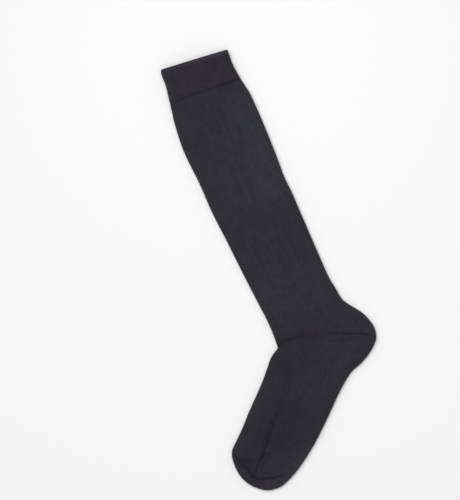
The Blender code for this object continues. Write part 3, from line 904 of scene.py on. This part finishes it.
def add_knit(name, grid, closed, courses, wale_start=0, keep=1.0, pull=0.0, wall=KNIT_WALL):
    """A knitted piece from a grid of points. keep fades the wales; pull draws the cloth in and paints the
    seam's shade.
    """
    rows, cells = grid.shape[:2]
    lifted, shade = relaxed(grid)
    base, normals = lifted[..., :3], grid[..., 4:7]
    from_gore = np.linalg.norm(grid[..., :2] - GORE_START, axis=-1)
    relief = keep * wale_depth(cells) * np.clip(from_gore / FLAT_REACH, 0, 1)
    outer = base - normals * (relief + pull * SEAM_DEPTH)[..., None]
    row_picks = sorted({*range(0, rows - 1, INNER_ROW_STEP), rows - 1})
    column_picks = list(range(0, cells, CELLS_PER_WALE))
    if not closed:
        column_picks = sorted({*column_picks, cells - 1})
    inner = (base - normals * np.reshape(wall, (-1, 1)))[np.ix_(row_picks, column_picks)]
    wales = np.broadcast_to(wale_start + np.arange(cells) / CELLS_PER_WALE, (rows, cells))
    courses = np.broadcast_to(courses[:, None], (rows, cells))
    # The darkening of the creases and of the seam is painted shade, and the tone is painted light and
    # shade.
    values = (wales, courses, darker(shade, pull * SEAM_SHADE), painted_light_and_shade(grid))
    return add_cloth(name, outer, inner, row_picks, column_picks, closed, values)


# %% [markdown]
# The leg is one closed tube. Its rows lie closer together at the cuff's seam and at the ankle, where
# the shape changes quickly. Rows that are that close everywhere would look no better, and the mesh
# would be several times as heavy.

# %% Knit the leg
LEG_ROW_STEP = 2.6 * MM
FINE_ROW_STEP = 0.5 * MM

side_places = lengths_along(leg_curve[:, 2])
leg_places = crowded(side_places[-1], LEG_ROW_STEP, FINE_ROW_STEP, at_start=True, at_end=True)
leg_grid = np.array([whole_loop(r) for r in read_off(leg_curve, side_places, leg_places)])
leg = add_knit("knitted_leg", leg_grid, True, leg_places / COURSE, pull=seam_pull(leg_grid, leg_places))

# %% [markdown]
# The foot's tube is knitted in one with the leg, but the two halves do different work. The instep is
# the upper half, before the line along the side of the foot, and the sole is the lower half. One
# tube would be simpler, but two pieces can be given yarns of their own, as on a sock with a
# stronger sole.

# %% Knit the instep and the sole
FOOT_ROW_STEP = 1.3 * MM
SEWN_FLAT_REACH = 1.5 * MM

side_places = lengths_along(foot_curve[:, 2])
foot_places = crowded(side_places[-1], FOOT_ROW_STEP, FINE_ROW_STEP, at_start=True, at_end=True)
foot_lines = read_off(foot_curve, side_places, foot_places)
wales_kept = np.clip((side_places[-1] - foot_places) / SEWN_FLAT_REACH, 0, 1)[:, None]
foot_courses = (foot_places + leg_places[-1]) / COURSE
instep_grid = np.array([front_loop(r) for r in foot_lines])
sole_grid = np.array([back_loop(r) for r in foot_lines])
instep = add_knit("knitted_instep", instep_grid, False, foot_courses, keep=wales_kept)
sole = add_knit("knitted_sole", sole_grid, False, foot_courses, 2 * FRONT_WALES, wales_kept)

# %% [markdown]
# The heel is a pocket. It is knitted to and fro on half of the needles, in rows that first get
# shorter and then longer again, and the two halves meet along the gore line. So its rows fan out
# from one point beside the ankle bone, and they lie closest together at the gore line. Straight rows
# like the leg's could cover it too, but its stitches would then lie the wrong way.

# %% Knit the heel pocket
HEEL_MEAN_RADIUS = 30 * MM
RAY_STEP = math.radians(1.8)
FINE_RAY_STEP = math.radians(0.6)

edge_angles = np.arctan2(heel_curve[:, 1], heel_curve[:, 0])
above = crowded(edge_angles[0] + GORE_ANGLE, RAY_STEP, FINE_RAY_STEP, at_end=True)
below = crowded(-GORE_ANGLE - edge_angles[-1], RAY_STEP, FINE_RAY_STEP, at_start=True)
heel_angles = np.concatenate([edge_angles[0] - above, -GORE_ANGLE - below[1:]])
edge_points = read_off(heel_curve[::-1], edge_angles[::-1], heel_angles)


def heel_ray(edge):
    """A row of the pocket. Where all rows meet, outwards is straight up or straight down."""
    ray = half_loop(edge, (edge + GORE_START) / 2, GORE_START, BACK_CELLS)
    ray[[0, -1], 4:6] = 0
    ray[0, 6], ray[-1, 6] = 1, -1
    return ray


heel_grid = np.array([heel_ray(p) for p in edge_points])
heel_courses = (leg_places[-1] + (heel_angles[0] - heel_angles) * HEEL_MEAN_RADIUS) / COURSE
heel = add_knit("knitted_heel", heel_grid, False, heel_courses, 2 * FRONT_WALES)

# %% [markdown]
# The toe is a cap. Its wales start at the seam on the upper layer, run over the folded tip and end
# at the seam below. The first ones on each side are very short, because there the seam meets the
# fold, and the wall thins out to nothing in that corner. A quarter of a ball would be an easier cap,
# but then no wale would run on from the foot into the toe.

# %% Knit the toe cap
TOE_HALF_ROWS = 30
TOE_ROW_STEP = 0.9 * MM
TOE_TAPER_CELLS = 12
SEWN_FLAT_ROWS = 2
MOST_FOLD_SHARE = 0.98  # of a short column, so that a little is left for the flat part

front_end = instep_grid[-1]
back_end = sole_grid[-1]
seam_top = np.concatenate([front_end[FRONT_CELLS:], back_end[1 : BACK_CELLS + 1]])
seam_bottom = np.concatenate([front_end[: FRONT_CELLS + 1][::-1], back_end[BACK_CELLS:-1][::-1]])
seam_lengths = lengths_along(seam_top[:, :2])
toe_lengths = lengths_along(toe_curve)
toe_tips = read_off(toe_curve, toe_lengths, seam_lengths / seam_lengths[-1] * toe_lengths[-1])


def toe_half(seam, tip):
    length = max(np.linalg.norm(tip - seam[:2]), 1e-9)
    near = np.minimum(FOLD_SHARES * KNIT_FOLD_RADIUS / length, MOST_FOLD_SHARE)
    shares = np.concatenate([near, np.linspace(near[-1], 1, FLAT_POINTS)[1:]])
    plan = tip + shares[:, None] * (seam[:2] - tip)
    inward = from_path(plan, outline)[0]
    inward[0] = 0
    return plan, inward


def toe_column(top_seam, bottom_seam, tip):
    plan, inward = toe_half(top_seam, tip)
    upper = np.column_stack([plan, folded_heights(inward, KNIT_FOLD_RADIUS)[0], inward])[::-1]
    plan, inward = toe_half(bottom_seam, tip)
    lower = np.column_stack([plan, folded_heights(inward, KNIT_FOLD_RADIUS)[1], -inward])
    loop = np.concatenate([evenly(upper, TOE_HALF_ROWS), evenly(lower, TOE_HALF_ROWS)[1:]])
    return np.column_stack([loop, np.zeros((len(loop), 3))])


toe_grid = np.array([toe_column(*c) for c in zip(seam_top, seam_bottom, toe_tips)]).transpose(1, 0, 2)
toe_grid[:, 0, :3], toe_grid[:, -1, :3] = seam_top[0, :3], seam_top[-1, :3]
toe_grid[:, [0, -1], 3] = 0
print("toe rows and columns:", *toe_grid.shape[:2])

# %% [markdown]
# Each point needs the direction that is outwards there, because the wall is laid out inwards from it
# before there is a mesh that could tell. Over the tip it comes from the two directions of the grid.
# Along the seam it is copied from the foot, so that the toe's wall and the foot's meet edge to edge.

# %% Sew the toe to the foot
down_rows, across = np.gradient(toe_grid[..., :3], axis=(0, 1))
toe_normals = np.cross(down_rows, across)
toe_normals /= np.maximum(np.linalg.norm(toe_normals, axis=-1, keepdims=True), 1e-12)
toe_grid[..., 4:7] = toe_normals
toe_grid[0, :, 4:7], toe_grid[-1, :, 4:7] = seam_top[:, 4:7], seam_bottom[:, 4:7]
toe_grid[:, 0, 4:7], toe_grid[:, -1, 4:7] = seam_top[0, 4:7], seam_top[-1, 4:7]
from_seam = np.minimum(np.arange(len(toe_grid)), np.arange(len(toe_grid))[::-1])
toe_courses = foot_courses[-1] + np.arange(len(toe_grid)) * TOE_ROW_STEP / COURSE
from_end = np.minimum(np.arange(len(seam_top)), np.arange(len(seam_top))[::-1])
toe_wall = KNIT_WALL * np.clip(from_end / TOE_TAPER_CELLS, 0, 1)
toe_keep = np.clip(from_seam / SEWN_FLAT_ROWS, 0, 1)[:, None] * np.clip(from_end / CELLS_PER_WALE, 0, 1)
toe = add_knit("knitted_toe", toe_grid, False, toe_courses, keep=toe_keep, wall=toe_wall)

# %% [markdown]
# The cuff is a rib, one needle plain and one purl by turns, so it draws in and grips. It is turned
# double at the mouth, and that fold is round and catches the light. Its mesh runs up the outside,
# over the rim and down the inside, and closes at the seam, where it thins to the leg's single wall.
# The leg's way of making a piece would do but for the rim, which would come out flat.

# %% Lay out the cuff
CUFF_WALL = 1.8 * MM
CUFF_ROW_STEP = 2.0 * MM
CUFF_FINE_STEP = 0.4 * MM
RIB_RELIEF = 0.55 * MM
RIB_NARROWNESS = 2.5  # the higher, the narrower the furrow between two ribs
INSIDE_RIB_RELIEF = 0.35 * MM
THICKENING_REACH = 2.5 * MM
CELLS_PER_RIB = 2 * CELLS_PER_WALE

cuff_up = cuff_curve[::-1]
side_places = lengths_along(cuff_up[:, 2])
cuff_places = crowded(
    side_places[-1] - CUFF_WALL / 2, CUFF_ROW_STEP, CUFF_FINE_STEP, at_start=True, at_end=True
)
grown = np.clip(cuff_places / THICKENING_REACH, 0, 1)
grown = grown * grown * (3 - 2 * grown)
cuff_lines = read_off(cuff_up, side_places, cuff_places)
radii = KNIT_FOLD_RADIUS + grown * (CUFF_FOLD_RADIUS - KNIT_FOLD_RADIUS)
cuff_grid = np.array([whole_loop(line, radius) for line, radius in zip(cuff_lines, radii)])
cuff_lifted, cuff_shade = relaxed(cuff_grid)

cells = cuff_grid.shape[1]
rib = np.abs(np.cos(math.pi * np.arange(cells) / CELLS_PER_RIB)) ** RIB_NARROWNESS
pull = seam_pull(cuff_grid, cuff_places)
depth = (1 - grown)[:, None] * wale_depth(cells) + grown[:, None] * RIB_RELIEF * rib + pull * SEAM_DEPTH
wall = (KNIT_WALL + grown * (CUFF_WALL - KNIT_WALL))[:, None]
inside_depth = wall - grown[:, None] * INSIDE_RIB_RELIEF * rib
print("cuff rows on the outside:", len(cuff_lines), "and ribs:", cells // CELLS_PER_RIB)

# %% [markdown]
# At the mouth the cloth turns through half a circle, as wide as the doubled wall, and the outside
# passes over into the inside. A bevel could round the edge, but the ribs would stop in front of it.

# %% Knit the cuff over its rim
RIM_STEPS = 7

inwards, outside = cuff_grid[..., 4:7], cuff_lifted[..., :3]
upwards = cuff_up[-1, 2] - cuff_up[-2, 2]
upwards = np.array([*(upwards / np.linalg.norm(upwards)), 0])
sheet = [outside[i] - inwards[i] * depth[i][:, None] for i in range(len(outside))]
sheet_courses = list(-cuff_places / COURSE)
sheet_rows = list(range(len(outside)))
for turn in np.linspace(0, math.pi, RIM_STEPS + 2)[1:-1]:
    turned_in = depth[-1] + (inside_depth[-1] - depth[-1]) * (1 - math.cos(turn)) / 2
    sheet.append(outside[-1] - inwards[-1] * turned_in[:, None] + upwards * math.sin(turn) * CUFF_WALL / 2)
    sheet_courses.append(-(cuff_places[-1] + turn * CUFF_WALL / 2) / COURSE)
    sheet_rows.append(len(outside) - 1)
for i in range(len(outside) - 1, -1, -INNER_ROW_STEP):
    sheet.append(outside[i] - inwards[i] * inside_depth[i][:, None])
    sheet_courses.append(-(2 * cuff_places[-1] - cuff_places[i]) / COURSE)
    sheet_rows.append(i)
cuff_points = np.array(sheet)
print("cuff rows:", len(cuff_points))

# %% [markdown]
# The last row inside the cuff lies behind the first one outside it, so the faces go round in a ring
# and close the solid without a separate rim. The rim's turned edge is round and catches the light, so
# a painted highlight makes it the lightest part of the sock, and the more so towards the back. A
# material of its own would end in a line, so the painted highlight is a tone that fades out.

# %% Close the cuff into one solid
RIM_HIGHLIGHT_WIDTH = 2.4 * MM
RIM_HIGHLIGHT_REACH = 1.4 * MM
RIM_HIGHLIGHT_FRONT = 0.25
RIM_HIGHLIGHT_BACK = 0.95
RIM_FRONT_X = -62 * MM
RIM_BACK_X = 24 * MM

row_count = len(cuff_points)
cuff_faces = []
for i in range(row_count):
    for j in range(cells):
        k, below = (j + 1) % cells, (i + 1) % row_count
        cuff_faces.append((i * cells + j, i * cells + k, below * cells + k, below * cells + j))
# A painted highlight along the turned rim, stronger towards the back, fading out below the rim.
back_share = np.interp(cuff_grid[..., 0], [RIM_FRONT_X, RIM_BACK_X], [0, 1])
rim_highlight = RIM_HIGHLIGHT_FRONT + (RIM_HIGHLIGHT_BACK - RIM_HIGHLIGHT_FRONT) * back_share
past_rim = np.maximum(cuff_places[-1] - cuff_places - RIM_HIGHLIGHT_WIDTH, 0)[:, None]
cuff_painted_light = painted_light_and_shade(cuff_grid) * (1 + rim_highlight * np.exp(-((past_rim / RIM_HIGHLIGHT_REACH) ** 2)))
# The seam's painted shade is laid over the creases' painted shade.
cuff_shade = darker(cuff_shade, pull * SEAM_SHADE)
cuff_wales = np.broadcast_to(np.arange(cells) / CELLS_PER_WALE, (row_count, cells))
cuff_courses = np.repeat(sheet_courses, cells).reshape(row_count, cells)
cuff = build_piece(
    "ribbed_cuff", cuff_points.reshape(-1, 3), cuff_faces, len(cuff_faces) - cells,
    [v.ravel() for v in (cuff_wales, cuff_courses, cuff_shade[sheet_rows], cuff_painted_light[sheet_rows])],
)

# %% [markdown]
# On the real sock the pieces are knitted into one another, so light runs over the joins without a
# break. Here each piece would shade its own edge by itself, and a hairline would show. Joined into
# one mesh they would shade as one, but they are separate pieces of the model. So the directions of
# the faces of both pieces are added up at the points that they share.

# %% Read the directions of the knitted faces
def read(items, label, shape, kind=np.float32):
    values = np.empty(np.prod(shape), kind)
    items.foreach_get(label, values)
    return values.reshape(shape)


def skin(mesh):
    """The corners on knitted faces, the direction at each point, and the points on a flat rim."""
    count = len(mesh.polygons)
    face_of = np.repeat(np.arange(count), read(mesh.polygons, "loop_total", count, np.int32))
    corners = read(mesh.loops, "vertex_index", len(mesh.loops), np.int32)
    on_skin = read(mesh.polygons, "use_smooth", count, bool)[face_of]
    weighted = read(mesh.polygons, "normal", (count, 3)) * read(mesh.polygons, "area", (count, 1))
    directions = np.zeros((len(mesh.vertices), 3))
    np.add.at(directions, corners[on_skin], weighted[face_of[on_skin]])
    on_rim = np.zeros(len(mesh.vertices), bool)
    on_rim[corners[~on_skin]] = True
    return corners, on_skin, directions, on_rim


# %% [markdown]
# A search tree finds the points of other pieces that lie at the same place. Comparing all points with
# all others would do as well, and take minutes. Every point on a rim gets the sum of the directions
# that are found there, and all other points keep their own.

# %% Smooth the light over the joins
TOUCHING = 0.03 * MM
pieces = [leg, instep, sole, heel, toe, cuff]
skins = [skin(piece.data) for piece in pieces]
rim_points, rim_directions = [], []
for piece, (corners, on_skin, directions, on_rim) in zip(pieces, skins):
    places = read(piece.data.vertices, "co", (len(piece.data.vertices), 3))
    rim_points.extend(places[on_rim].tolist())
    rim_directions.extend(directions[on_rim])
tree = KDTree(len(rim_points))
for i, point in enumerate(rim_points):
    tree.insert(point, i)
tree.balance()
for piece, (corners, on_skin, directions, on_rim) in zip(pieces, skins):
    places = read(piece.data.vertices, "co", (len(piece.data.vertices), 3))
    for i in np.flatnonzero(on_rim):
        shared = [rim_directions[found[1]] for found in tree.find_range(places[i], TOUCHING)]
        directions[i] = np.sum(shared, axis=0)
    wanted = np.zeros((len(corners), 3))
    joined = on_skin & on_rim[corners]
    wanted[joined] = directions[corners[joined]]
    wanted /= np.maximum(np.linalg.norm(wanted, axis=1, keepdims=True), 1e-20)
    piece.data.normals_split_custom_set(wanted.tolist())
print("points on rims:", len(rim_points))

# %% [markdown]
# Plain knit looks like columns of small letters V. Each stitch has two strands that lean away from
# the middle of its wale. Strands of real geometry would take millions of faces. The shader draws
# them from the stitch numbers on the mesh instead, as a sawtooth that is skewed by the distance from
# the wale's middle. The yarn is a dark blend, so its colour wanders between a bluish and a plainer
# black, some wales are darker than others, and fine fibres on it catch light from the side, which is
# what the sheen is for. Round the start of the gore line, where the stitches would shrink to
# nothing, the pattern fades into its own mean.

# %% The knitted yarn
STITCH_HEIGHT = 0.16 * MM
STITCH_SLANT = 0.9  # in courses, from the middle of a wale to its edge
STRAND_BREADTH = 0.6  # the lower, the broader the strand and the narrower the gap
RIDGE_DROP = 0.7
MEAN_STITCH = 0.5
FIBRE_HEIGHT = 0.35  # as a share of a stitch's height
STREAK_PER_WALE = 0.7
STREAK_PER_COURSE = 0.012
FULL_LIGHT = 0.94
LIGHT_PER_CONTRAST = 0.64  # taken off, so that a stronger contrast keeps the mean
Noise = namedtuple("Noise", "scale detail weight")
CLUMPS = Noise(300.0, 3.0, 0.45)
BLOTCHES = Noise(90.0, 2.0, 0.35)
STREAKS = Noise(1.0, 1.0, 0.4)
FIBRES = Noise(2600.0, 4.0, 0.2)
DYE = Noise(55.0, 1.0, 3.0)


def knit_yarn(name, bluish, plain, contrast=0.5):
    yarn = Shader(name)
    wale, course, shade, tone = (
        yarn.node("Attribute", {"attribute_name": label}, output=2) for label in LABELS
    )
    across = (wale.math("FRACT") - 0.5).math("ABSOLUTE") * 2
    lean = (course + across * STITCH_SLANT).math("FRACT")
    strand = (lean * math.pi).math("SINE").math("POWER", STRAND_BREADTH)
    ridge = 1 - (across * 2 - 1).math("ABSOLUTE").math("POWER", 2.0) * RIDGE_DROP

    place = yarn.node("TexCoord", output=3)
    level = yarn.node("VectorMath", {"operation": "MULTIPLY"}, {0: place, 1: (1, 1, 0)})
    from_gore = yarn.node("VectorMath", {"operation": "DISTANCE"}, {0: level, 1: PLAN_TO_MODEL}, output=1)
    drawn = (from_gore * (1 / FLAT_REACH)).math("MINIMUM", 1.0)
    stitch = strand * ridge * drawn + (1 - drawn) * MEAN_STITCH

    def noise(kind, vector):
        return yarn.node("TexNoise", sockets={"Vector": vector, "Scale": kind.scale, "Detail": kind.detail})

    clump, fibre, blotch, dye = (noise(kind, place) for kind in (CLUMPS, FIBRES, BLOTCHES, DYE))
    stretched = {0: wale * STREAK_PER_WALE, 1: course * STREAK_PER_COURSE}
    streak = noise(STREAKS, yarn.node("CombineXYZ", sockets=stretched))
    wander = (clump - 0.5) * CLUMPS.weight + (blotch - 0.5) * BLOTCHES.weight
    wander = wander + (streak - 0.5) * STREAKS.weight
    plain_light = FULL_LIGHT - LIGHT_PER_CONTRAST * contrast
    # The stitches are drawn into the colour as well as into the bump: each strand is lighter in its middle,
    # and the gaps between strands and the furrows between wales are darker, as painted shade. The tone and
    # shade numbers then multiply in the painted light and shade of the sock, its rim, its creases and its
    # seams.
    light = (stitch * contrast + plain_light + wander) * tone * (1 - shade)
    hue = ((dye - 0.5) * DYE.weight + 0.5).math("MINIMUM", 1.0).math("MAXIMUM", 0.0)
    colour = yarn.node("Mix", {"data_type": "RGBA"}, {0: hue, 6: (*bluish, 1), 7: (*plain, 1)}, output=2)
    tinted = yarn.node("VectorMath", {"operation": "SCALE"}, {0: colour, "Scale": light})
    height = stitch + fibre * FIBRE_HEIGHT
    bump = yarn.node("Bump", sockets={"Height": height, "Distance": STITCH_HEIGHT, "Strength": 1.0})
    yarn.fill(yarn.surface, {
        "Base Color": tinted,
        "Roughness": 0.8 + fibre * FIBRES.weight,
        "Normal": bump,
        "Specular IOR Level": 0.2,
        "Sheen Weight": 0.3,
        "Sheen Roughness": 0.4,
        "Sheen Tint": (0.72, 0.70, 0.80, 1),
    })
    return yarn.material


main_yarn = knit_yarn("plain_knit_yarn", (0.0245, 0.0242, 0.0348), (0.0265, 0.0238, 0.0325))
heel_yarn = knit_yarn("heel_knit_yarn", (0.0245, 0.0242, 0.0348), (0.0262, 0.0238, 0.0328))
rib_yarn = knit_yarn("rib_knit_yarn", (0.0245, 0.0217, 0.0312), (0.0256, 0.0213, 0.0300), 0.2)
toe_yarn = knit_yarn("toe_knit_yarn", (0.0256, 0.0236, 0.0325), (0.0272, 0.0232, 0.0312))
print("nodes in a yarn:", len(main_yarn.node_tree.nodes))

# %% [markdown]
# Last, every knitted piece gets its yarn, rides on the model's one body and hides the plain piece
# that it stands for. The calls could stand beside each piece, but in one table none is forgotten.

# %% Put the pieces on the model
DRESSING = (
    (cuff, "cuff", "ribbed_knit", rib_yarn),
    (leg, "leg", "plain_knit", main_yarn),
    (instep, "instep", "plain_knit", main_yarn),
    (sole, "sole", "plain_knit", main_yarn),
    (heel, "heel", "heel_knit", heel_yarn),
    (toe, "toe", "toe_knit", toe_yarn),
)
for piece, node, slot, yarn in DRESSING:
    piece.data.materials.append(yarn)
    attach(piece, "root")
    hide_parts(node)
    print(piece.name, "stands for", node)
